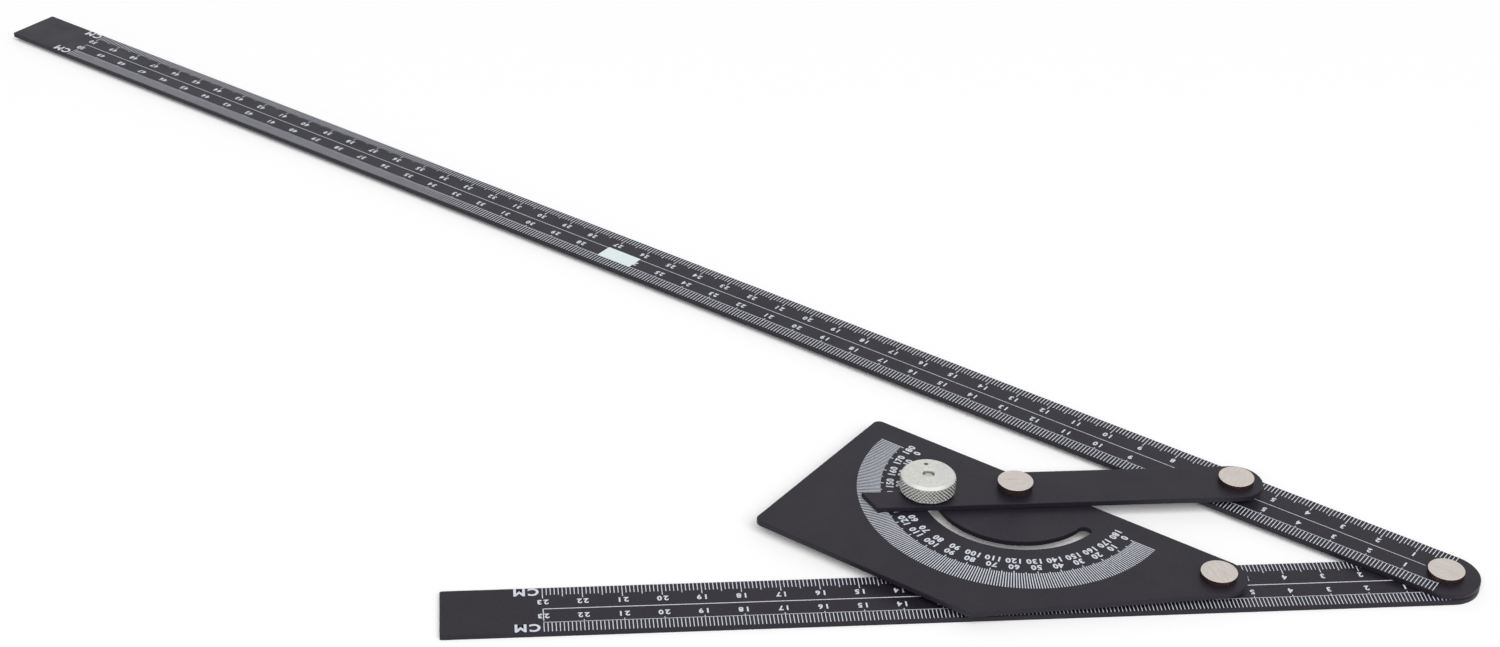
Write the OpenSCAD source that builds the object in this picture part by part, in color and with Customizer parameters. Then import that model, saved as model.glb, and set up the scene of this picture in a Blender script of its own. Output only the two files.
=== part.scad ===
// Adjustable angle ruler. Two graduated arms turn on a corner rivet. A protractor plate and a
// link of the same pivot spacing close a parallelogram with them, so the link's pointer shows
// the angle between the arms, and a knurled nut clamps it through an arc slot.
// Millimetres. The origin is on the corner pivot's axis, in the plane the short arm rests on.
// The short arm runs along -X, the long arm opens towards +Y, and +Z is up.

/* [Arms] */
// Angle between the two arms as stored, in degrees
rest_angle = 40.75; // [20:0.25:160]
// Length of the long arm from the corner pivot: a 500 mm scale and 27 mm of plain end
long_len = 527; // [300:1:650]
// Length of the short arm from the corner pivot: a 230 mm scale and 27 mm of plain end
short_len = 257; // [180:1:350]
// Width of both arms
arm_w = 18; // [16:0.5:22]
// Thickness of every sheet piece
sheet_t = 1.5; // [1:0.1:2]
// Rounding of the square corners of the arms
corner_r = 0.5; // [0.3:0.1:2]

/* [Linkage] */
// Distance between neighbouring pivots, the same on all four sides
pivot_spacing = 60; // [56:0.5:80]
// Width of the link
link_w = 14.5; // [12:0.5:18]
// Reach of the pointer's tip from the protractor's centre
pointer_reach = 41; // [38:0.5:46]
// Set-back of the pointer's lower corner behind its tip
pointer_slant = 3.2; // [1:0.1:4]

/* [Protractor] */
// Distance from the protractor's centre to the plate's back edge
plate_back = 48; // [44:0.5:56]
// Distance from the protractor's centre to the plate's front edge
plate_depth = 52; // [46:0.5:60]
// Position of the plate's front corner, where the slanted edge starts
plate_corner = 17.5; // [5:0.5:30]
// Rounding of the plate's two back corners
plate_corner_r = 2; // [0.5:0.1:4]
// Radius of the plate's round end at the short arm
plate_end_r = 7.5; // [6.5:0.1:9]
// Radius of the arc slot's middle line
slot_r = 23.5; // [20:0.5:27]
// Angle from the plate's pivot line to the centre of each slot end
slot_end_angle = 9; // [5:0.5:12]

/* [Rivets] */
// Diameter of the rivet shanks
rivet_d = 5; // [4:0.1:6]
// Diameter of the rivet heads
head_d = 9.5; // [8.5:0.1:12]
// Thickness of the rivet heads
head_t = 1.6; // [0.8:0.1:2]
// Chamfer around the top of the rivet heads
head_chamfer = 0.25; // [0.1:0.05:0.4]
// Diameter of the closing heads under the long arm and the plate
tail_d = 8; // [7:0.1:9]
// Thickness of the closing heads under the long arm and the plate
tail_t = 1.1; // [0.8:0.1:1.2]
// Diameter of the flush closing ends in the short arm
flush_d = 6.6; // [6.2:0.1:7]
// Diameter of the thin washers at the corner and the protractor's centre
washer_d = 12; // [10:0.5:13]
// Thickness of the thin washers, which is also the gap between neighbouring sheets
washer_t = 0.2; // [0.1:0.05:0.5]
// Diameter of the dark spacers at the other pivots and under the centre rivet's head
spacer_d = 9.2; // [8:0.1:11]
// Thickness of the dark spacer under the centre rivet's head
centre_spacer_t = 0.8; // [0.4:0.1:2.5]

/* [Clamp] */
// Diameter of the clamp screw's shank
screw_d = 3; // [2.5:0.1:4]
// Diameter of the clamp screw's head
screw_head_d = 7; // [6:0.1:8]
// Thickness of the clamp screw's head
screw_head_t = 1.6; // [1:0.1:2]
// Diameter of the knurled nut
nut_d = 15; // [13:0.5:18]
// Height of the knurled nut
nut_t = 5; // [4:0.1:7]
// Chamfer around the nut's top
nut_chamfer = 0.7; // [0.3:0.1:1]
// Number of knurl teeth around the nut
knurl_count = 72; // [48:4:96]
// Depth of the knurl
knurl_t = 0.25; // [0.15:0.05:0.4]
// Width of the plain band above and below the knurl
knurl_band_w = 0.3; // [0.2:0.05:0.6]
// Diameter of the turning mark beside the nut's hole
mark_d = 1.1; // [0.8:0.1:1.6]
// Distance of the turning mark from the nut's axis
mark_at = 4.3; // [2.4:0.1:5]
// Depth of the screw's end below the nut's top
screw_recess = 0.8; // [0.3:0.1:1.5]
// Diameter of the washer under the nut
clamp_washer_d = 8; // [7:0.1:10]
// Thickness of the washer under the nut
clamp_washer_t = 0.5; // [0.4:0.1:1]

/* [Label] */
// Distance of the bare label's middle from the corner pivot, along the long arm
label_at = 265.5; // [200:0.5:280]
// Length of the bare label
label_l = 12; // [8:0.5:16]
// Width of the bare label
label_w = 5.8; // [4:0.1:7]
// Thickness of the bare label
label_t = 0.15; // [0.1:0.05:0.3]

/* [Clearances] */
// Radial clearance of a turning fit
run_clear = 0.05; // [0.02:0.01:0.1]
// Axial clearance under a rivet head
head_clear = 0.05; // [0.02:0.01:0.1]
// Clearance on each side of the screw's neck in the arc slot
slot_clear = 0.2; // [0.1:0.05:0.3]

/* [Hidden] */
$fn = 64;
level = sheet_t + washer_t;
z_long = level;
z_plate = 2 * level;
z_link = 3 * level;
z_link_top = z_link + sheet_t;
spacer_t = 2 * level - sheet_t;
flush_t = sheet_t / 2;
over = sheet_t;
pivot_b = [-pivot_spacing, 0];
pivot_c = [-pivot_spacing * cos(rest_angle), pivot_spacing * sin(rest_angle)];
pivot_d = pivot_b + pivot_c;
clamp_at = pivot_d + [-slot_r, 0];
neck_w = screw_d;
slot_w = neck_w + 2 * slot_clear;
slot_end_d = slot_w + slot_clear;
run_d = rivet_d + 2 * run_clear;
screw_hole_d = screw_d + 2 * run_clear;
z_nut = z_link_top + clamp_washer_t;
core_r = nut_d / 2 - 1.2 * knurl_t;
big = 4 * (plate_back + plate_depth);
front_corner = [plate_corner, -plate_depth];
bevel_to = [pivot_spacing, 0] - front_corner;
bevel_r = plate_end_r - run_clear;
bevel_len = sqrt(bevel_to * bevel_to - bevel_r * bevel_r);
bevel_angle = atan2(bevel_to[1], bevel_to[0]) - atan2(bevel_r, bevel_len);
bevel_end = front_corner + bevel_len * [cos(bevel_angle), sin(bevel_angle)];
black = [0.13, 0.13, 0.14];
nickel = [0.76, 0.74, 0.71];
steel = [0.62, 0.63, 0.64];
dark = [0.07, 0.06, 0.06];
satin = [0.8, 0.8, 0.78];
pale = [0.85, 0.92, 0.92];

// What rounding takes off a corner at the origin, for a sheet in the +X +Y quadrant
module corner_cut(r) {
    difference() {
        translate([-over, -over]) square(r + over);
        translate([r, r]) circle(r = r);
    }
}

// Strip along +X with its round end about the origin and its square end at the given reach
module strip(reach) {
    difference() {
        union() {
            circle(d = arm_w);
            translate([0, -arm_w / 2]) square([reach, arm_w]);
        }
        translate([reach, -arm_w / 2]) mirror([1, 0]) corner_cut(corner_r);
        translate([reach, arm_w / 2]) rotate(180) corner_cut(corner_r);
    }
}

// Places its children on the long arm: +X along the arm from the corner pivot
module along_long() {
    rotate(180 - rest_angle) children();
}

// Places its children on the plate: origin at the protractor's centre, +X towards the plate rivet
module on_plate() {
    translate(pivot_d) rotate(-rest_angle) children();
}

// Flat ring
module ring(outer_d, inner_d, t) {
    linear_extrude(t) difference() {
        circle(d = outer_d);
        circle(d = inner_d);
    }
}

// Hole through the short arm, opened out below for a flush closing end
module flush_hole() {
    rotate_extrude() polygon([[0, -over], [flush_d / 2, -over], [flush_d / 2, 0],
        [rivet_d / 2, flush_t], [rivet_d / 2, sheet_t + over], [0, sheet_t + over]]);
}

// Half profile of a head that stands on the given level
function head_profile(z) = [[rivet_d / 2, z], [head_d / 2, z],
    [head_d / 2, z + head_t - head_chamfer], [head_d / 2 - head_chamfer, z + head_t],
    [0, z + head_t]];

// Rivet with a flush closing end in the short arm and its head at the given level
module flush_rivet(z) {
    color(nickel) rotate_extrude() polygon(concat(
        [[0, 0], [flush_d / 2, 0], [rivet_d / 2, flush_t]],
        head_profile(z)));
}

// Rivet with a closing head under the sheet at z_sheet and its head at the given level
module raised_rivet(z_sheet, z) {
    color(nickel) rotate_extrude() polygon(concat(
        [[0, z_sheet - tail_t], [tail_d / 2, z_sheet - tail_t], [tail_d / 2, z_sheet],
         [rivet_d / 2, z_sheet]],
        head_profile(z)));
}

// Lower arm, with both flush rivets
module short_arm() {
    color(black) difference() {
        linear_extrude(sheet_t) rotate(180) strip(short_len);
        flush_hole();
        translate(pivot_b) flush_hole();
    }
}

// Upper arm, turning on the corner rivet and holding the link rivet
module long_arm() {
    color(black) translate([0, 0, z_long]) along_long() linear_extrude(sheet_t) difference() {
        strip(long_len);
        circle(d = run_d);
        translate([pivot_spacing, 0]) circle(d = rivet_d);
    }
}

// Arc slot about the protractor's centre, with end holes a little wider than the slot
module arc_slot() {
    intersection() {
        difference() {
            circle(r = slot_r + slot_w / 2, $fn = 128);
            circle(r = slot_r - slot_w / 2, $fn = 128);
        }
        polygon([[0, 0], big * [cos(slot_end_angle), -sin(slot_end_angle)], [0, -big],
            big * [-cos(slot_end_angle), -sin(slot_end_angle)]]);
    }
    for (side = [-1, 1])
        translate(slot_r * [side * cos(slot_end_angle), -sin(slot_end_angle)])
            circle(d = slot_end_d);
}

// Plate with the protractor's half circle, its back edge along the line of its two pivots
module protractor_plate() {
    color(black) translate([0, 0, z_plate]) on_plate() linear_extrude(sheet_t) difference() {
        union() {
            translate([pivot_spacing, 0]) circle(r = plate_end_r);
            polygon([[-plate_back, plate_end_r], [-plate_back, -plate_depth], front_corner,
                bevel_end, [pivot_spacing, 0], [pivot_spacing, plate_end_r]]);
        }
        translate([-plate_back, -plate_depth]) corner_cut(plate_corner_r);
        translate([-plate_back, plate_end_r]) mirror([0, 1]) corner_cut(plate_corner_r);
        arc_slot();
        circle(d = rivet_d);
        translate([pivot_spacing, 0]) circle(d = run_d);
    }
}

// Link from the long arm to the protractor's centre and on to the pointer, whose straight
// edge lies on the line of the pivots
module link_arm() {
    color(black) translate([pivot_d[0], pivot_d[1], z_link]) linear_extrude(sheet_t) difference() {
        union() {
            translate([pivot_spacing, 0]) circle(d = link_w);
            translate([-slot_r, 0]) circle(d = link_w);
            translate([-slot_r, -link_w / 2]) square([slot_r + pivot_spacing, link_w]);
            polygon([[0, 0], [-pointer_reach, 0], [pointer_slant - pointer_reach, -link_w / 2],
                [0, -link_w / 2]]);
        }
        circle(d = run_d);
        translate([pivot_spacing, 0]) circle(d = run_d);
        translate([-slot_r, 0]) circle(d = screw_hole_d);
    }
}

// Rivet of the two arms
module corner_rivet() {
    flush_rivet(z_long + sheet_t + head_clear);
}

// Rivet of the plate on the short arm
module plate_rivet() {
    translate(pivot_b) flush_rivet(z_plate + sheet_t + head_clear);
}

// Rivet of the link on the long arm
module link_rivet() {
    translate(pivot_c) raised_rivet(z_long, z_link_top + head_clear);
}

// Rivet of the link on the plate, its head raised by a dark spacer
module centre_rivet() {
    translate(pivot_d) raised_rivet(z_plate, z_link_top + head_clear + centre_spacer_t);
}

// Thin washer between the two arms
module corner_washer() {
    color(steel) translate([0, 0, sheet_t]) ring(washer_d, run_d, washer_t);
}

// Thin washer between the plate and the link
module centre_washer() {
    color(steel) translate([pivot_d[0], pivot_d[1], z_plate + sheet_t])
        ring(washer_d, run_d, washer_t);
}

// Dark spacer between the short arm and the plate, as thick as the long arm and its two gaps
module plate_spacer() {
    color(dark) translate([pivot_b[0], pivot_b[1], sheet_t]) ring(spacer_d, run_d, spacer_t);
}

// Dark spacer between the long arm and the link, as thick as the plate and its two gaps
module link_spacer() {
    color(dark) translate([pivot_c[0], pivot_c[1], z_long + sheet_t])
        ring(spacer_d, run_d, spacer_t);
}

// Dark spacer that lifts the centre rivet's head
module centre_spacer() {
    color(dark) translate([pivot_d[0], pivot_d[1], z_link_top + head_clear])
        ring(spacer_d, run_d, centre_spacer_t);
}

// Screw with its head under the plate and a square neck that runs in the arc slot
module clamp_screw() {
    color(steel) translate(clamp_at) {
        translate([0, 0, z_plate - screw_head_t]) cylinder(d = screw_head_d, h = screw_head_t);
        translate([-neck_w / 2, -neck_w / 2, z_plate]) cube([neck_w, neck_w, sheet_t]);
        translate([0, 0, z_plate]) cylinder(d = screw_d, h = z_nut + nut_t - screw_recess - z_plate);
    }
}

// Washer under the nut
module clamp_washer() {
    color(steel) translate([clamp_at[0], clamp_at[1], z_link_top])
        ring(clamp_washer_d, screw_hole_d, clamp_washer_t);
}

// Star outline of the knurl, with a tooth's tip at every second corner
module knurl_outline() {
    polygon([for (i = [0 : 2 * knurl_count - 1])
        (nut_d / 2 - (i % 2) * knurl_t) * [cos(i * 180 / knurl_count), sin(i * 180 / knurl_count)]]);
}

// Round nut with a chamfered top, a knurled rim and a small turning mark beside its hole
module clamp_nut() {
    color(satin) translate([clamp_at[0], clamp_at[1], z_nut]) difference() {
        union() {
            rotate_extrude() polygon([[0, 0], [core_r - knurl_band_w, 0], [core_r, knurl_band_w],
                [core_r, nut_t - nut_chamfer], [core_r - nut_chamfer, nut_t], [0, nut_t]]);
            translate([0, 0, 2 * knurl_band_w])
                linear_extrude(nut_t - nut_chamfer - 3 * knurl_band_w) knurl_outline();
        }
        translate([0, 0, -over]) cylinder(d = screw_hole_d, h = nut_t + 2 * over);
        translate([0, mark_at, nut_t - nut_chamfer / 2]) cylinder(d = mark_d, h = nut_t);
    }
}

// Bare label on the long arm
module label() {
    color(pale) translate([0, 0, z_long + sheet_t]) along_long()
        translate([label_at - label_l / 2, -label_w / 10, 0]) cube([label_l, label_w, label_t]);
}

short_arm();
long_arm();
protractor_plate();
link_arm();
corner_rivet();
plate_rivet();
link_rivet();
centre_rivet();
corner_washer();
centre_washer();
plate_spacer();
link_spacer();
centre_spacer();
clamp_screw();
clamp_washer();
clamp_nut();
label();
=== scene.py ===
import math

import bmesh
import bpy
from mathutils import Matrix, Vector

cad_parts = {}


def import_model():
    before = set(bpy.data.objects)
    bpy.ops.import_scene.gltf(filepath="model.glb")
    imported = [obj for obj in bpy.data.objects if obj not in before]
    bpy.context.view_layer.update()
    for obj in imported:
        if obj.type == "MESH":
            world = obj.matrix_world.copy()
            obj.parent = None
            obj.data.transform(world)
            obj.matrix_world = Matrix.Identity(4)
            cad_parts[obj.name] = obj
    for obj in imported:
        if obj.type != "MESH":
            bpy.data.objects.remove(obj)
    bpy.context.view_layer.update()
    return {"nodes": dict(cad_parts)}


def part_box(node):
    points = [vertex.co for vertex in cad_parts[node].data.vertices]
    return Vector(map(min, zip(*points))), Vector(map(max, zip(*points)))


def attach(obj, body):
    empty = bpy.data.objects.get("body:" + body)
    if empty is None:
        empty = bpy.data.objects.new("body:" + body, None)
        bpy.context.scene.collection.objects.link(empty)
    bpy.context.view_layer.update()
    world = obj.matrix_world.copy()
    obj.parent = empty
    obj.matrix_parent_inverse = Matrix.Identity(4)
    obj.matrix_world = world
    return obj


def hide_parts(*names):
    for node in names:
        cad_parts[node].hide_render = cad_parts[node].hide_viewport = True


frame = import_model()

MM = 0.001
CM = 10 * MM
UP = Vector((0, 0, 1))
WHITE = (1, 1, 1, 1)

# Camera: where it stands, the floor point it looks at, how far it leans, and its lens
CAMERA_AT = Vector((-0.24615, -0.52355, 0.40374))
CAMERA_AIM = Vector((-0.16601, 0.13637, 0))
CAMERA_ROLL = math.radians(2.3)
CAMERA_LENS = 63.26
CAMERA_SENSOR = 36
CAMERA_NEAR = 0.01

# Light: levels of the surroundings and of the key lamp's face, where the white background is 1
WORLD_LIGHT = 0.26
GLOSS_LIGHT = 0.86
GLOSS_STRIP = 1.65
KEY_LIGHT = 5.5
KEY_AT = Vector((-0.58, -14.36, 15.6))
KEY_AIM = Vector((-0.16, 0.13, 0))
KEY_SIZE = (24.6, 13.5)

# Strip light in reflections, by the sky direction's Z (start, full, falling, end) and Y (back, front)
STRIP_HEIGHTS = (0.58, 0.74, 0.92, 0.98)
STRIP_FRONT = (0.15, -0.15)

# Floor: a pale disc just under the ruler, with a little light of its own where it is seen
FLOOR_WHITE = 0.95
FLOOR_ROUGHNESS = 0.9
FLOOR_LIFT = 0.06
FLOOR_R = 6.0
FLOOR_STEPS = 64
FLOOR_DROP = 0.05 * MM

# Printed scales of the two arms: lengths, starts and middle lines
LONG_SCALE_CM = 50
SHORT_SCALE_CM = 23
LONG_START = 0.0 * MM
SHORT_START = 1.4 * MM
LONG_LINE_W = 0.17 * MM
SHORT_LINE_W = 0.26 * MM
LINE_START = 5.6 * MM
PRINT_SHIFT = 0.3 * MM

# Ticks, with their lengths at a millimetre, half a centimetre and a centimetre
TICK_W = 0.22 * MM
FRONT_TICKS = (3.7 * MM, 3.7 * MM, 4.4 * MM)
REAR_TICKS = (2.9 * MM, 3.6 * MM, 4.3 * MM)
BASE_LINE_W = 0.14 * MM
EDGE_GAP = 0.25 * MM

# Numbers and units of the arms
ARM_DIGIT_H = 1.9 * MM
FRONT_DIGIT_AT = 2.85 * MM
REAR_DIGIT_AT = 2.8 * MM
UNIT_H = 3.1 * MM
UNIT_GAP = 0.9 * MM

# Printed protractor, measured from the centre rivet, with its marks at a degree, a five and a ten
HALF_TURN = 180
DEGREE_OUTER_R = 41.8 * MM
DEGREE_INNER_R = (35.5 * MM, 35.1 * MM, 34.7 * MM)
DEGREE_W = 0.26 * MM
OUTER_DIGIT_R = 33.0 * MM
INNER_DIGIT_R = 30.4 * MM
ARC_DIGIT_H = 2.05 * MM

# Ink and lettering: pitches and weight are shares of the characters' height
INK_HEIGHT = 0.02 * MM
INK_BED = 0.01 * MM
GLYPH_STEPS = 3
GLYPH_WEIGHT = 0.036
GLYPH_WELD = 0.0005
ARM_DIGIT_PITCH = 0.88
ARC_DIGIT_PITCH = 0.74
UNIT_PITCH = 1.14

# Rounded arrises of the solids that stay, and what the modifiers take as one point or one plane
SHEET_ARRIS = 0.2 * MM
RING_ARRIS = 0.08 * MM
LABEL_ARRIS = 0.04 * MM
ARRIS_SEGMENTS = 3
ARRIS_ANGLE = math.radians(40)
PLANE_ANGLE = math.radians(0.5)
WELD_GAP = 0.001 * MM

# Edges steeper than these stay sharp in the shading
PRINT_SHARP = math.radians(30)
TURNED_SHARP = math.radians(35)
NUT_SHARP = math.radians(25)

# Rivets: shank and closing ends as in the solids, with a crowned head and a dimpled end
LATHE_STEPS = 96
RIM_STEPS = 5
RIVET_R = 2.5 * MM
FLUSH_R = 3.3 * MM
TAIL_R = 4.0 * MM
HEAD_GAP = 0.05 * MM
CROWN = 0.05 * MM
CROWN_HALFWAY = 0.3
RIM_R = 0.18 * MM
DIMPLE = 0.2 * MM

# Clamp screw
SCREW_R = 1.5 * MM
SCREW_HEAD_R = 3.5 * MM
SCREW_RIM_R = 0.5 * MM
NECK_GAP = 0.1 * MM
THREAD_PITCH = 0.5 * MM
THREAD_DEPTH = 0.24 * MM
THREAD_CHAMFER = 0.3 * MM
THREAD_AROUND = 48
THREAD_ROWS = 6

# Clamp nut
KNURL_COUNT = 44
KNURL_DEPTH = 0.36 * MM
KNURL_SAMPLES = 6
NUT_INSET = 0.25 * MM
NUT_CHAMFER = 0.72 * MM
NUT_CHAMFER_ANGLE = 45
NUT_CORNER_R = 0.2 * MM
NUT_FOOT = 0.3 * MM
BORE_R = 1.55 * MM
BORE_FLARE = 0.15 * MM
MARK_R = 0.6 * MM
MARK_AT = 4.3 * MM
MARK_DEPTH = 1.2 * MM
MARK_STEPS = 32

# The part of its range in which a noise mostly lies
NOISE_RANGE = (0.3, 0.7)


def middle(node):
    """Centre of a CAD node's box."""
    low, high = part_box(node)
    return (low + high) / 2


def flat(point):
    """The point's place on the floor."""
    return Vector((point.x, point.y, 0))


CORNER = flat(middle("corner_rivet"))
PLATE_PIVOT = flat(middle("plate_rivet"))
LINK_PIVOT = flat(middle("link_rivet"))
CENTRE = flat(middle("centre_rivet"))
CLAMP = flat(middle("clamp_screw"))

# Tick rows from an arm's middle line. Both arms are as wide as the short one, which lies along X.
ARM_HALF_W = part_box("short_arm")[1].y - middle("short_arm").y
FRONT_EDGE = ARM_HALF_W - EDGE_GAP
REAR_EDGE = EDGE_GAP / 2 - ARM_HALF_W
BASE_LINE = FRONT_EDGE - FRONT_TICKS[0]


def axes(origin, towards, height):
    """Axes on a sheet: X from the origin towards a point, Z up, at the given height."""
    x = (towards - origin).normalized()
    y = UP.cross(x)
    turn = Matrix((x, y, UP)).transposed().to_4x4()
    return Matrix.Translation(origin + UP * height) @ turn


# Node trees


def put(tree, socket, value):
    """Sets a socket to a value, or links it to another node's output."""
    if isinstance(value, bpy.types.NodeSocket):
        tree.links.new(value, socket)
    else:
        socket.default_value = value


def fill(tree, node, **sockets):
    """Fills a node's sockets with values or with other nodes' outputs."""
    for name, value in sockets.items():
        put(tree, node.inputs[name.replace("_", " ")], value)


def add(tree, kind, options=None, **sockets):
    """Adds a shader node with its options set and its sockets filled."""
    made = tree.nodes.new("ShaderNode" + kind)
    for option, value in (options or {}).items():
        setattr(made, option, value)
    fill(tree, made, **sockets)
    return made


def calculate(tree, operation, first, second):
    """One step of arithmetic on two numbers or outputs."""
    made = add(tree, "Math", {"operation": operation})
    put(tree, made.inputs[0], first)
    put(tree, made.inputs[1], second)
    return made.outputs["Value"]


def noise(tree, size, stretch=(1, 1, 1), turn=0, detail=3):
    """Noise with features of about the given size, drawn out along the axes by stretch."""
    where = add(tree, "TexCoord").outputs["Object"]
    turned = add(tree, "Mapping", Vector=where, Rotation=(0, 0, turn)).outputs["Vector"]
    scale = [1 / (size * share) for share in stretch]
    spread = add(tree, "Mapping", Vector=turned, Scale=scale).outputs["Vector"]
    return add(tree, "TexNoise", Vector=spread, Scale=1.0, Detail=detail).outputs["Fac"]


def rings(tree, count):
    """Fine turned rings about the piece's own axis, the closer the higher the count."""
    where = add(tree, "TexCoord").outputs["Object"]
    made = add(tree, "TexWave", {"wave_type": "RINGS", "rings_direction": "Z"},
               Vector=where, Scale=count, Distortion=1.5, Detail=2.0, Detail_Scale=1.5)
    return made.outputs["Fac"]


def between(tree, factor, low, high):
    """A number that goes from low to high as a noise goes through its usual range."""
    start, end = NOISE_RANGE
    ranged = add(tree, "MapRange", Value=factor, From_Min=start, From_Max=end, To_Min=low, To_Max=high)
    return ranged.outputs["Result"]


def tint(tree, factor, low, high):
    """A colour that goes from low to high as a noise goes through its usual range."""
    ramp = add(tree, "ValToRGB", Fac=factor)
    for element, place, colour in zip(ramp.color_ramp.elements, NOISE_RANGE, (low, high)):
        element.position = place
        element.color = (*colour, 1)
    return ramp.outputs["Color"]


def bump(tree, height, depth, strength):
    """A normal raised by a noise."""
    return add(tree, "Bump", Height=height, Distance=depth, Strength=strength).outputs["Normal"]


def material(name):
    """A new material, its node tree and its shader."""
    made = bpy.data.materials.new(name)
    made.use_nodes = True
    return made, made.node_tree, made.node_tree.nodes["Principled BSDF"]


# Materials


def sheet_black():
    """Satin black anodised sheet: fine grain and slightly uneven gloss."""
    made, tree, shader = material("sheet_black")
    mottle = noise(tree, 9 * MM, detail=6)
    grain = noise(tree, 0.2 * MM, detail=3)
    fill(tree, shader,
         Base_Color=tint(tree, grain, (0.0085, 0.0072, 0.011), (0.0235, 0.0205, 0.0295)),
         Specular_IOR_Level=0.24,
         Roughness=between(tree, mottle, 0.34, 0.48),
         Normal=bump(tree, grain, 0.008 * MM, 0.5))
    return made


def print_white():
    """White printing ink with a slightly uneven cover."""
    made, tree, shader = material("print_white")
    cover = noise(tree, 0.5 * MM, detail=4)
    fill(tree, shader,
         Base_Color=tint(tree, cover, (0.56, 0.59, 0.65), (0.74, 0.77, 0.84)),
         Specular_IOR_Level=0.2,
         Roughness=between(tree, cover, 0.5, 0.7))
    return made


def brushed_nickel(name, turn):
    """Nickel with fine straight brush lines in the given direction and faint handling marks."""
    made, tree, shader = material(name)
    lines = noise(tree, 0.15 * MM, stretch=(24, 1, 1), turn=turn, detail=6)
    marks = noise(tree, 0.9 * MM, stretch=(2, 1, 1), turn=turn + 0.6, detail=6)
    fill(tree, shader,
         Base_Color=tint(tree, lines, (0.61, 0.56, 0.52), (0.83, 0.765, 0.715)),
         Metallic=1.0,
         Roughness=between(tree, marks, 0.25, 0.38),
         Normal=bump(tree, lines, 0.006 * MM, 0.5))
    return made


def tarnished_nickel():
    """The rivet heads' sides: smooth nickel, painted dark and slightly red as a painted reflection of
    the dark sheets around them.
    """
    made, tree, shader = material("tarnished_nickel")
    cloud = noise(tree, 0.6 * MM, detail=4)
    fill(tree, shader,
         Base_Color=tint(tree, cloud, (0.07, 0.045, 0.042), (0.12, 0.085, 0.08)),
         Metallic=0.8,
         Roughness=between(tree, cloud, 0.2, 0.34))
    return made


def turned_aluminium():
    """Satin aluminium with fine turning rings about the nut's own axis."""
    made, tree, shader = material("turned_aluminium")
    cloud = noise(tree, 0.8 * MM, detail=6)
    around = add(tree, "Tangent", {"direction_type": "RADIAL", "axis": "Z"})
    fill(tree, shader,
         Base_Color=tint(tree, cloud, (0.7, 0.71, 0.67), (0.86, 0.87, 0.83)),
         Metallic=1.0,
         Roughness=between(tree, cloud, 0.34, 0.46),
         Normal=bump(tree, rings(tree, 1700.0), 0.01 * MM, 0.4),
         Anisotropic=0.85,
         Anisotropic_Rotation=0.25,
         Tangent=around.outputs["Tangent"])
    return made


def knurled_aluminium():
    """The nut's rim, bore and pit: duller aluminium with cloudy wear and a fine grain, its colour
    darker than the top's as painted shade for the knurl's hollows, the bore and the pit.
    """
    made, tree, shader = material("knurled_aluminium")
    cloud = noise(tree, 0.5 * MM, detail=6)
    grain = noise(tree, 0.08 * MM, detail=2)
    fill(tree, shader,
         Base_Color=tint(tree, cloud, (0.56, 0.56, 0.53), (0.78, 0.78, 0.75)),
         Metallic=1.0,
         Roughness=between(tree, cloud, 0.34, 0.5),
         Normal=bump(tree, grain, 0.006 * MM, 0.4))
    return made


def zinc():
    """Zinc plated steel: warm grey with a fine crystalline cloud."""
    made, tree, shader = material("zinc")
    cloud = noise(tree, 0.7 * MM, detail=6)
    grain = noise(tree, 0.09 * MM, detail=2)
    fill(tree, shader,
         Base_Color=tint(tree, cloud, (0.66, 0.63, 0.57), (0.82, 0.79, 0.73)),
         Metallic=1.0,
         Roughness=between(tree, cloud, 0.32, 0.5),
         Normal=bump(tree, grain, 0.004 * MM, 0.4))
    return made


def nylon(name, low, high):
    """Moulded nylon with a faint bloom."""
    made, tree, shader = material(name)
    bloom = noise(tree, 0.9 * MM, detail=4)
    fill(tree, shader,
         Base_Color=tint(tree, bloom, low, high),
         Specular_IOR_Level=0.3,
         Roughness=between(tree, bloom, 0.42, 0.6),
         Normal=bump(tree, bloom, 0.01 * MM, 0.2))
    return made


def label_film():
    """Pale film label with a faint paper tooth under a thin gloss."""
    made, tree, shader = material("label_film")
    tooth = noise(tree, 0.35 * MM, detail=5)
    fill(tree, shader,
         Base_Color=tint(tree, tooth, (0.68, 0.8, 0.8), (0.78, 0.87, 0.86)),
         Roughness=between(tree, tooth, 0.35, 0.55),
         Normal=bump(tree, tooth, 0.004 * MM, 0.3),
         Coat_Weight=0.3,
         Coat_Roughness=0.2)
    return made


# Shared shapes


def new_object(name, data):
    """A new object in the scene with the given mesh, curve, lamp or camera."""
    made = bpy.data.objects.new(name, data)
    bpy.context.scene.collection.objects.link(made)
    return made


def mesh_object(name, shape):
    """Turns a bmesh into a new object in the scene."""
    mesh = bpy.data.meshes.new(name)
    shape.to_mesh(mesh)
    shape.free()
    return new_object(name, mesh)


def mesh_piece(name, shape, place, body, sharp_angle):
    """Turns a bmesh into a piece at the given place that rides on a body."""
    bmesh.ops.recalc_face_normals(shape, faces=shape.faces)
    piece = mesh_object(name, shape)
    piece.data.shade_smooth()
    piece.data.set_sharp_from_angle(angle=sharp_angle)
    piece.matrix_world = place
    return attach(piece, body)


def dress(piece, *finishes):
    """Gives a new piece its materials."""
    for finish in finishes:
        piece.data.materials.append(finish)


def dress_node(node, finish):
    """Gives a CAD node its material in the slot it came with."""
    frame["nodes"][node].material_slots[0].material = finish


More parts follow.
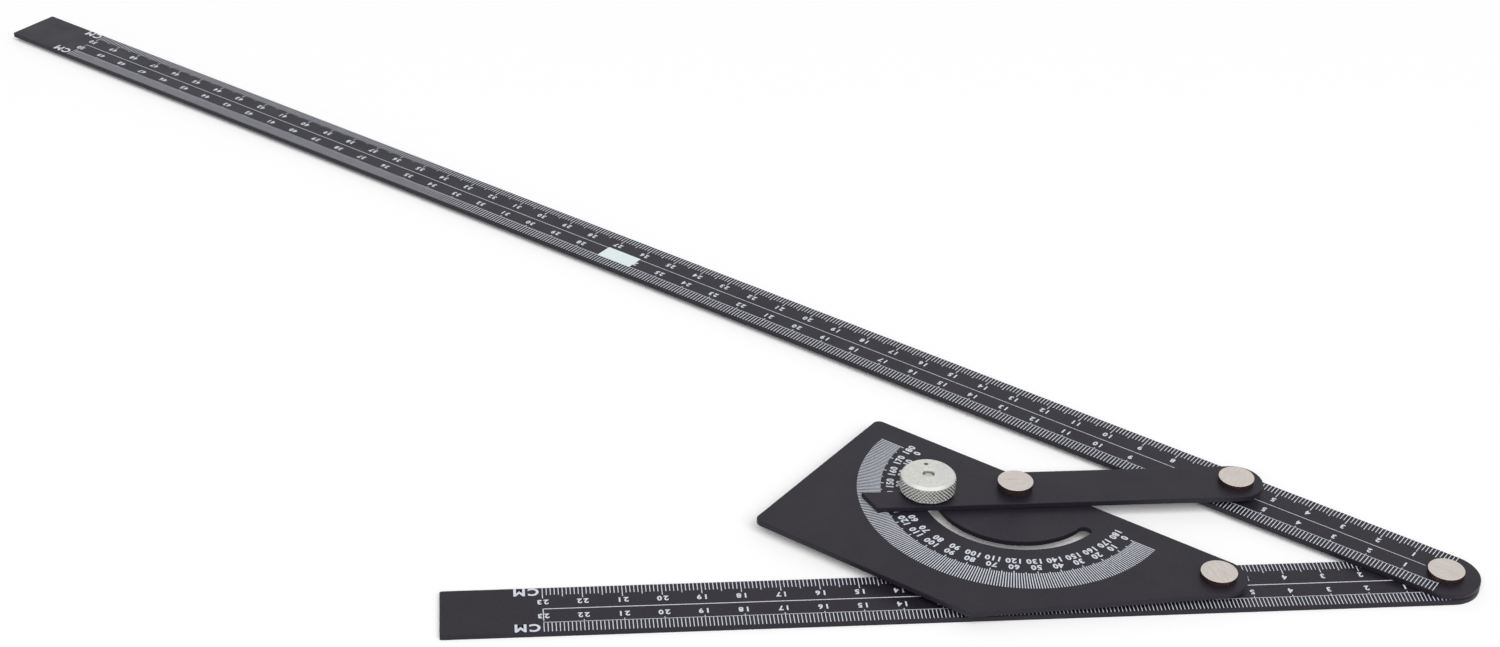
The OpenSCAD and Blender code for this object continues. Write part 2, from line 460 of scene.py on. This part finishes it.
def soften(node, width):
    """Rounds a CAD node's arrises with modifiers, which leave its own mesh as it is."""
    piece = frame["nodes"][node]
    weld = piece.modifiers.new("weld", "WELD")
    weld.merge_threshold = WELD_GAP
    merge = piece.modifiers.new("flat_faces", "DECIMATE")
    merge.decimate_type = "DISSOLVE"
    merge.angle_limit = PLANE_ANGLE
    arris = piece.modifiers.new("arris", "BEVEL")
    arris.width = width
    arris.segments = ARRIS_SEGMENTS
    arris.angle_limit = ARRIS_ANGLE
    even_shading(piece)


def even_shading(piece):
    """Lets a piece's large flat faces set the shading at their edges."""
    shade = piece.modifiers.new("shade", "WEIGHTED_NORMAL")
    shade.keep_sharp = True


def spot(radius, angle, height):
    """A point from its radius, angle and height about the Z axis."""
    return Vector((radius * math.cos(angle), radius * math.sin(angle), height))


def turns(steps):
    """Equal steps around a circle."""
    return [2 * math.pi * i / steps for i in range(steps)]


def ring_of(shape, radius, height, steps):
    """A ring of vertices about the Z axis, or one vertex where the radius is nothing."""
    if radius == 0:
        return [shape.verts.new((0, 0, height))]
    return [shape.verts.new(spot(radius, angle, height)) for angle in turns(steps)]


def square_ring(shape, half, height, steps):
    """A square ring of vertices about the Z axis, with one on each corner."""
    ring = []
    for angle in turns(steps):
        radius = half / max(abs(math.cos(angle)), abs(math.sin(angle)))
        ring.append(shape.verts.new(spot(radius, angle, height)))
    return ring


def rings_of(shape, profile, steps):
    """The rings of a turned form, from the (radius, height) points of its half section."""
    return [ring_of(shape, radius, height, steps) for radius, height in profile]


def join_rings(shape, lower, upper):
    """Faces between two rings, of which one may be a single vertex."""
    steps = max(len(lower), len(upper))
    faces = []
    for i in range(steps):
        k = (i + 1) % steps
        below = [lower[i % len(lower)], lower[k % len(lower)]]
        above = [upper[k % len(upper)], upper[i % len(upper)]]
        faces.append(shape.faces.new(list(dict.fromkeys(below + above))))
    return faces


def skin(shape, loops):
    """Faces between each ring and the next."""
    return [face for lower, upper in zip(loops, loops[1:]) for face in join_rings(shape, lower, upper)]


def rounding(centre_r, centre_z, radius, start, end):
    """Points of a rounded edge in a half section, from one angle to another, in degrees."""
    angles = [math.radians(start + (end - start) * i / RIM_STEPS) for i in range(RIM_STEPS + 1)]
    return [(centre_r + radius * math.cos(a), centre_z + radius * math.sin(a)) for a in angles]


# Printing


def prism(marks, outline):
    """A closed flat mark over an outline on a sheet's top."""
    lower = [marks.verts.new((x, y, -INK_BED)) for x, y in outline]
    upper = [marks.verts.new((x, y, INK_HEIGHT)) for x, y in outline]
    marks.faces.new(upper)
    marks.faces.new(lower[::-1])
    join_rings(marks, lower, upper)


def bar(marks, start, end, width):
    """A straight line of ink between two points."""
    start, end = Vector(start), Vector(end)
    side = (end - start).normalized().orthogonal() * width / 2
    prism(marks, [start - side, end - side, end + side, start + side])


def glyph_mesh(character):
    """One character's mesh from the built-in typeface, with some thickness."""
    curve = bpy.data.curves.new("glyph", "FONT")
    curve.body = character
    curve.extrude = 0.5
    curve.offset = GLYPH_WEIGHT
    curve.resolution_u = GLYPH_STEPS
    holder = new_object("glyph", curve)
    seen = holder.evaluated_get(bpy.context.evaluated_depsgraph_get())
    mesh = bpy.data.meshes.new_from_object(seen)
    bpy.data.objects.remove(holder)
    return mesh


def glyph(character):
    """One character's closed solid, one unit tall and centred."""
    solid = bmesh.new()
    solid.from_mesh(glyph_mesh(character))
    bmesh.ops.remove_doubles(solid, verts=solid.verts, dist=GLYPH_WELD)
    low = Vector([min(v.co[i] for v in solid.verts) for i in range(3)])
    high = Vector([max(v.co[i] for v in solid.verts) for i in range(3)])
    size = high.y - low.y
    for v in solid.verts:
        v.co.x = (v.co.x - (low.x + high.x) / 2) / size
        v.co.y = (v.co.y - (low.y + high.y) / 2) / size
    return solid


GLYPHS = {character: glyph(character) for character in "0123456789CM"}


def letter(marks, character, place, height):
    """One character set on a sheet, its middle at the place's origin."""
    solid = GLYPHS[character]
    made = {}
    for v in solid.verts:
        level = INK_HEIGHT if v.co.z > 0 else -INK_BED
        at = place @ Vector((v.co.x * height, v.co.y * height, 0))
        made[v] = marks.verts.new((at.x, at.y, level))
    for face in solid.faces:
        marks.faces.new([made[v] for v in face.verts])


def word(marks, text, place, height, pitch):
    """Characters side by side, centred on the place's origin."""
    for i, character in enumerate(text):
        step = (i - (len(text) - 1) / 2) * pitch * height
        letter(marks, character, place @ Matrix.Translation((step, 0, 0)), height)


def rank(count):
    """2 for a mark at a ten, 1 for one at a five and 0 for any other."""
    if count % 10 == 0:
        return 2
    return 1 if count % 5 == 0 else 0


def print_piece(name, marks, place, body):
    """Turns marks drawn on a sheet's own axes into a printed piece."""
    bmesh.ops.transform(marks, matrix=place, verts=marks.verts)
    dress(mesh_piece(name, marks, Matrix.Identity(4), body, PRINT_SHARP), INK)


def arm_ticks(marks, start, length_cm):
    """A tick for every millimetre in the front row and in the rear row."""
    for i in range(length_cm * 10 + 1):
        x = start + i * MM
        bar(marks, (x, REAR_EDGE), (x, REAR_EDGE + REAR_TICKS[rank(i)]), TICK_W)
        bar(marks, (x, FRONT_EDGE), (x, FRONT_EDGE - FRONT_TICKS[rank(i)]), TICK_W)


def arm_lines(marks, start, last, line_w):
    """The front row's base line, the middle line, and the line that joins them at the end."""
    bar(marks, (start, BASE_LINE), (last, BASE_LINE), BASE_LINE_W)
    bar(marks, (LINE_START, -PRINT_SHIFT), (last, -PRINT_SHIFT), line_w)
    bar(marks, (last, -PRINT_SHIFT - line_w / 2), (last, BASE_LINE), line_w)


def arm_numbers(marks, start, length_cm):
    """The centimetres' numbers, on either side of the middle line."""
    for i in range(1, length_cm + 1):
        for y in (FRONT_DIGIT_AT - PRINT_SHIFT, -REAR_DIGIT_AT - PRINT_SHIFT):
            place = Matrix.Translation((start + i * CM, y, 0))
            word(marks, str(i), place, ARM_DIGIT_H, ARM_DIGIT_PITCH)


def arm_units(marks, last):
    """The units after the end of either row."""
    x = last + UNIT_GAP + UNIT_H
    for y in (FRONT_EDGE - UNIT_H / 2, REAR_EDGE + UNIT_H / 2):
        word(marks, "CM", Matrix.Translation((x, y, 0)), UNIT_H, UNIT_PITCH)


def arm_print(name, node, towards, body, length_cm, start, line_w):
    """The whole scale on one arm's top."""
    marks = bmesh.new()
    last = start + length_cm * CM
    arm_ticks(marks, start, length_cm)
    arm_lines(marks, start, last, line_w)
    arm_numbers(marks, start, length_cm)
    arm_units(marks, last)
    print_piece(name, marks, axes(CORNER, towards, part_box(node)[1].z), body)


def plate_print():
    """The protractor's degree marks and its two number rows, which run against each other."""
    marks = bmesh.new()
    for degree in range(HALF_TURN + 1):
        angle = math.radians(-degree)
        out = Vector((math.cos(angle), math.sin(angle)))
        bar(marks, out * DEGREE_INNER_R[rank(degree)], out * DEGREE_OUTER_R, DEGREE_W)
    for degree in range(0, HALF_TURN + 1, 10):
        upright = Matrix.Rotation(math.radians(-degree - 90), 4, "Z")
        for radius, value in ((OUTER_DIGIT_R, degree), (INNER_DIGIT_R, HALF_TURN - degree)):
            place = upright @ Matrix.Translation((0, radius, 0))
            word(marks, str(value), place, ARC_DIGIT_H, ARC_DIGIT_PITCH)
    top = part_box("protractor_plate")[1].z
    print_piece("plate_print", marks, axes(CENTRE, PLATE_PIVOT, top), "plate_group")


# Rivets


def rivet_head(radius, top, seat):
    """Half section of a slightly crowned head, from its top to the shank under it."""
    rim = rounding(radius - RIM_R, top - CROWN - RIM_R, RIM_R, 90, 0)
    crown = [(0, top), (radius / 2, top - CROWN * CROWN_HALFWAY)]
    return [*crown, *rim, (radius, seat), (RIVET_R, seat)]


def flush_end(start, low):
    """Half section of a closing end that widens within its sheet and lies flush with it."""
    return [(RIVET_R, start), (FLUSH_R, low), (FLUSH_R / 2, low), (0, low + DIMPLE)]


def low_end(start, low):
    """Half section of a closing end that stands below its sheet as a low flat head."""
    rim = rounding(TAIL_R - RIM_R, low + RIM_R, RIM_R, 0, -90)
    return [(RIVET_R, start), (TAIL_R, start), *rim, (TAIL_R / 2, low), (0, low + DIMPLE)]


def rivet(node, body, under, held, turn):
    """A rivet in place of its CAD node: its head over one piece, its closing end in another."""
    low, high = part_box(node)
    head_r = (high.x - low.x) / 2
    profile = rivet_head(head_r, high.z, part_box(under)[1].z + HEAD_GAP)
    if held == "short_arm":
        profile += flush_end(middle(held).z, low.z)
    else:
        profile += low_end(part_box(held)[0].z, low.z)
    shape = bmesh.new()
    for face in skin(shape, rings_of(shape, profile, LATHE_STEPS)):
        # The heads' side walls take the second material, whose dark colour is a painted reflection of
        # the dark sheets.
        wall = abs(face.calc_center_median().xy.length - head_r) < RIM_R / 4
        face.material_index = 1 if wall else 0
    place = Matrix.Translation(flat(middle(node)))
    piece = mesh_piece(node + "_turned", shape, place, body, TURNED_SHARP)
    dress(piece, brushed_nickel(node + "_nickel", turn), PAINTED_REFLECTION_NICKEL)
    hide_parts(node)


# Clamp screw


def thread(shape, low, high):
    """Rings of a threaded shank with a chamfered end, rising from low to high."""
    rows = round((high - low) / THREAD_PITCH * THREAD_ROWS)
    loops = []
    for k in range(rows + 1):
        z = low + (high - low) * k / rows
        loop = []
        for angle in turns(THREAD_AROUND):
            phase = (z - low) / THREAD_PITCH - angle / (2 * math.pi)
            groove = abs(2 * (phase - math.floor(phase)) - 1)
            radius = min(SCREW_R - THREAD_DEPTH * groove, SCREW_R - THREAD_CHAMFER + high - z)
            loop.append(shape.verts.new(spot(radius, angle, z)))
        loops.append(loop)
    return loops


def clamp_screw():
    """Screw with a flat round head, a square neck in the slot and a threaded shank."""
    low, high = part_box("clamp_screw")
    plate_low, plate_high = [corner.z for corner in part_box("protractor_plate")]
    head_top = plate_low - HEAD_GAP
    rim = rounding(SCREW_HEAD_R - SCREW_RIM_R, low.z + SCREW_RIM_R, SCREW_RIM_R, -90, 0)
    shape = bmesh.new()
    loops = rings_of(shape, [(0, low.z), *rim, (SCREW_HEAD_R, head_top)], THREAD_AROUND)
    loops += [square_ring(shape, SCREW_R, z, THREAD_AROUND) for z in (head_top, plate_high)]
    loops += thread(shape, plate_high + NECK_GAP, high.z)
    loops.append(ring_of(shape, 0, high.z, THREAD_AROUND))
    skin(shape, loops)
    place = Matrix.Translation(CLAMP)
    piece = mesh_piece("clamp_screw_threaded", shape, place, "link_group", TURNED_SHARP)
    dress(piece, ZINC)
    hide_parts("clamp_screw")


# Clamp nut


def knurl_radius(radius, angle, height):
    """Radius of a diamond knurl's surface at an angle and a height."""
    pitch = 2 * math.pi * radius / KNURL_COUNT
    across = angle * KNURL_COUNT / (2 * math.pi)
    rise = height / pitch
    peaks = []
    for phase in (across + rise, across - rise):
        peaks.append(1 - abs(2 * (phase - math.floor(phase)) - 1))
    return radius - KNURL_DEPTH * (1 - min(peaks))


def knurl_band(shape, radius, low, high, steps):
    """Rings of a diamond knurl from one height to another."""
    pitch = 2 * math.pi * radius / KNURL_COUNT
    rows = round((high - low) / pitch * KNURL_SAMPLES)
    loops = []
    for k in range(rows + 1):
        z = low + (high - low) * k / rows
        points = [spot(knurl_radius(radius, angle, z), angle, z) for angle in turns(steps)]
        loops.append([shape.verts.new(point) for point in points])
    return loops


def nut_shoulder(core, tall):
    """Half section of the nut's chamfer, with both of its edges rounded."""
    reach = NUT_CORNER_R * math.tan(math.radians(NUT_CHAMFER_ANGLE / 2))
    side_z = tall - NUT_CHAMFER - reach
    top_r = core - NUT_CHAMFER - reach
    side_edge = rounding(core - NUT_CORNER_R, side_z, NUT_CORNER_R, 0, NUT_CHAMFER_ANGLE)
    top_edge = rounding(top_r, tall - NUT_CORNER_R, NUT_CORNER_R, NUT_CHAMFER_ANGLE, 90)
    return side_edge + top_edge


def turning_mark(shape, height):
    """Rings of a small drilled pit in the nut's top, from its opening down."""
    floor_z = height - MARK_DEPTH
    profile = [(MARK_R, height), (MARK_R, floor_z), (0, floor_z - MARK_R / 2)]
    loops = rings_of(shape, profile, MARK_STEPS)
    for vertex in sum(loops, []):
        vertex.co.y += MARK_AT
    return loops


def edges_of(shape, ring):
    """The edges around a ring of vertices."""
    ends = zip(ring, ring[1:] + ring[:1])
    return [shape.edges.get(pair) or shape.edges.new(pair) for pair in ends]


def nut_shape(radius, tall):
    """The nut's closed mesh, whose knurl, bore and pit take the second material, which is darker as
    painted shade.
    """
    core = radius - NUT_INSET
    steps = KNURL_COUNT * KNURL_SAMPLES
    knurl_low, knurl_high = 2 * NUT_FOOT, tall - NUT_CHAMFER - NUT_FOOT
    foot_profile = [(BORE_R, 0), (core - NUT_FOOT, 0), (core, NUT_FOOT), (core, knurl_low)]
    shoulder_profile = [(core, knurl_high), *nut_shoulder(core, tall)]
    bore_profile = [(BORE_R + BORE_FLARE, tall), (BORE_R, tall - BORE_FLARE)]
    shape = bmesh.new()
    knurl = knurl_band(shape, radius, knurl_low, knurl_high, steps)
    foot = rings_of(shape, foot_profile, steps)
    shoulder = rings_of(shape, shoulder_profile, steps)
    bore = rings_of(shape, bore_profile, steps) + [foot[0]]
    mark = turning_mark(shape, tall)
    # The knurl, bore and pit take the second material, darker than the top as painted shade in their
    # hollows.
    for loops in ([foot[-1], *knurl, shoulder[0]], bore, mark):
        for face in skin(shape, loops):
            face.material_index = 1
    for loops in (foot, shoulder):
        skin(shape, loops)
    openings = [edge for ring in (shoulder[-1], bore[0], mark[0]) for edge in edges_of(shape, ring)]
    bmesh.ops.triangle_fill(shape, use_beauty=True, edges=openings)
    return shape


def clamp_nut():
    """Round nut with a diamond knurl, a chamfered shoulder, a flared bore and a turning mark."""
    low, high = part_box("clamp_nut")
    shape = nut_shape((high.x - low.x) / 2, high.z - low.z)
    place = Matrix.Translation(CLAMP + UP * low.z)
    piece = mesh_piece("clamp_nut_knurled", shape, place, "nut_group", NUT_SHARP)
    even_shading(piece)
    # The second material is painted darker as shade in the knurl, bore and pit.
    dress(piece, TURNED, KNURL_PAINTED_SHADE)
    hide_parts("clamp_nut")


# Assembly of the looks

SHEET = sheet_black()
INK = print_white()
ZINC = zinc()
# The rivet heads' sides are painted dark, as a painted reflection of the dark sheets.
PAINTED_REFLECTION_NICKEL = tarnished_nickel()
TURNED = turned_aluminium()
# The nut's knurl, bore and pit are painted darker than its top, as painted shade.
KNURL_PAINTED_SHADE = knurled_aluminium()
SPACER = nylon("spacer_nylon", (0.012, 0.009, 0.009), (0.022, 0.018, 0.018))
WASHER = nylon("washer_nylon_film", (0.6, 0.59, 0.55), (0.72, 0.7, 0.66))
LABEL = label_film()

for sheet in ("short_arm", "long_arm", "protractor_plate", "link_arm"):
    soften(sheet, SHEET_ARRIS)
    dress_node(sheet, SHEET)
for spacer in ("plate_spacer", "link_spacer", "centre_spacer"):
    soften(spacer, RING_ARRIS)
    dress_node(spacer, SPACER)
for washer in ("corner_washer", "centre_washer"):
    dress_node(washer, WASHER)
soften("clamp_washer", RING_ARRIS)
dress_node("clamp_washer", ZINC)
soften("label", LABEL_ARRIS)
dress_node("label", LABEL)

arm_print("short_arm_print", "short_arm", PLATE_PIVOT, "short_arm_group",
          SHORT_SCALE_CM, SHORT_START, SHORT_LINE_W)
arm_print("long_arm_print", "long_arm", LINK_PIVOT, "long_arm_group",
          LONG_SCALE_CM, LONG_START, LONG_LINE_W)
plate_print()

# Rivets: node, body, piece under the head, piece the end is closed in, direction of the brushing
rivet("corner_rivet", "short_arm_group", "long_arm", "short_arm", 0.5)
rivet("plate_rivet", "short_arm_group", "protractor_plate", "short_arm", 1.3)
rivet("link_rivet", "long_arm_group", "link_arm", "long_arm", 2.2)
rivet("centre_rivet", "plate_group", "centre_spacer", "protractor_plate", 0.1)
clamp_screw()
clamp_nut()


# Stage


def camera_rays(tree):
    """1 for rays that should meet a white background: seen directly or through a gap."""
    path = add(tree, "LightPath").outputs
    return calculate(tree, "MAXIMUM", path["Is Camera Ray"], path["Is Transmission Ray"])


def floor_white():
    """Plain pale floor that shows as white where it is lit."""
    made, tree, shader = material("floor_white")
    fill(tree, shader,
         Base_Color=(FLOOR_WHITE, FLOOR_WHITE, FLOOR_WHITE, 1),
         Specular_IOR_Level=0.0,
         Roughness=FLOOR_ROUGHNESS,
         Emission_Color=WHITE,
         Emission_Strength=calculate(tree, "MULTIPLY", camera_rays(tree), FLOOR_LIFT))
    return made


def floor():
    """Round floor that keeps the object's shadow."""
    shape = bmesh.new()
    shape.faces.new(ring_of(shape, FLOOR_R, 0, FLOOR_STEPS))
    piece = mesh_object("floor", shape)
    piece.location.z = -FLOOR_DROP
    dress(piece, floor_white())


def fade(tree, value, start, end):
    """0 where the value is at its start and 1 at its end, with a smooth step between."""
    step = add(tree, "MapRange", {"interpolation_type": "SMOOTHSTEP"},
               Value=value, From_Min=start, From_Max=end)
    return step.outputs["Result"]


def gloss_level(tree):
    """Brightness in reflections: plain surroundings, and a strip light high up in front."""
    direction = add(tree, "SeparateXYZ", Vector=add(tree, "TexCoord").outputs["Generated"]).outputs
    low, full, falling, high = STRIP_HEIGHTS
    level = fade(tree, direction["Y"], *STRIP_FRONT)
    for edge in ((low, full), (high, falling)):
        level = calculate(tree, "MULTIPLY", level, fade(tree, direction["Z"], *edge))
    return add(tree, "MapRange", Value=level, To_Min=GLOSS_LIGHT, To_Max=GLOSS_STRIP).outputs["Result"]


def glow(tree, strength):
    """White surroundings of the given strength."""
    return add(tree, "Background", Color=WHITE, Strength=strength).outputs["Background"]


def mix(tree, factor, first, second):
    """The first shader where the factor is 0 and the second where it is 1."""
    made = add(tree, "MixShader", Fac=factor)
    put(tree, made.inputs[1], first)
    put(tree, made.inputs[2], second)
    return made.outputs["Shader"]


def world():
    """White surroundings: plain light for surfaces, and a level of their own in reflections."""
    made = bpy.data.worlds.new("studio")
    bpy.context.scene.world = made
    made.use_nodes = True
    tree = made.node_tree
    tree.nodes.clear()
    glossy = add(tree, "LightPath").outputs["Is Glossy Ray"]
    lit = mix(tree, glossy, glow(tree, WORLD_LIGHT), glow(tree, gloss_level(tree)))
    seen = mix(tree, camera_rays(tree), lit, glow(tree, 1.0))
    add(tree, "OutputWorld", Surface=seen)


def key_lamp():
    """A large area lamp that looks at the object and stays out of its reflections."""
    wide, tall = KEY_SIZE
    lamp = bpy.data.lights.new("key", "AREA")
    lamp.shape = "RECTANGLE"
    lamp.size = wide
    lamp.size_y = tall
    lamp.energy = KEY_LIGHT * math.pi * wide * tall
    holder = new_object("key", lamp)
    holder.location = KEY_AT
    holder.rotation_euler = (KEY_AIM - KEY_AT).to_track_quat("-Z", "Y").to_euler()
    holder.visible_glossy = False


def camera():
    """The photograph's viewpoint."""
    data = bpy.data.cameras.new("camera")
    data.lens = CAMERA_LENS
    data.sensor_width = CAMERA_SENSOR
    data.clip_start = CAMERA_NEAR
    holder = new_object("camera", data)
    look = (CAMERA_AIM - CAMERA_AT).to_track_quat("-Z", "Y").to_matrix().to_4x4()
    holder.matrix_world = Matrix.Translation(CAMERA_AT) @ look @ Matrix.Rotation(CAMERA_ROLL, 4, "Z")
    bpy.context.scene.camera = holder


floor()
world()
key_lamp()
camera()
bpy.context.scene.view_settings.view_transform = "Standard"
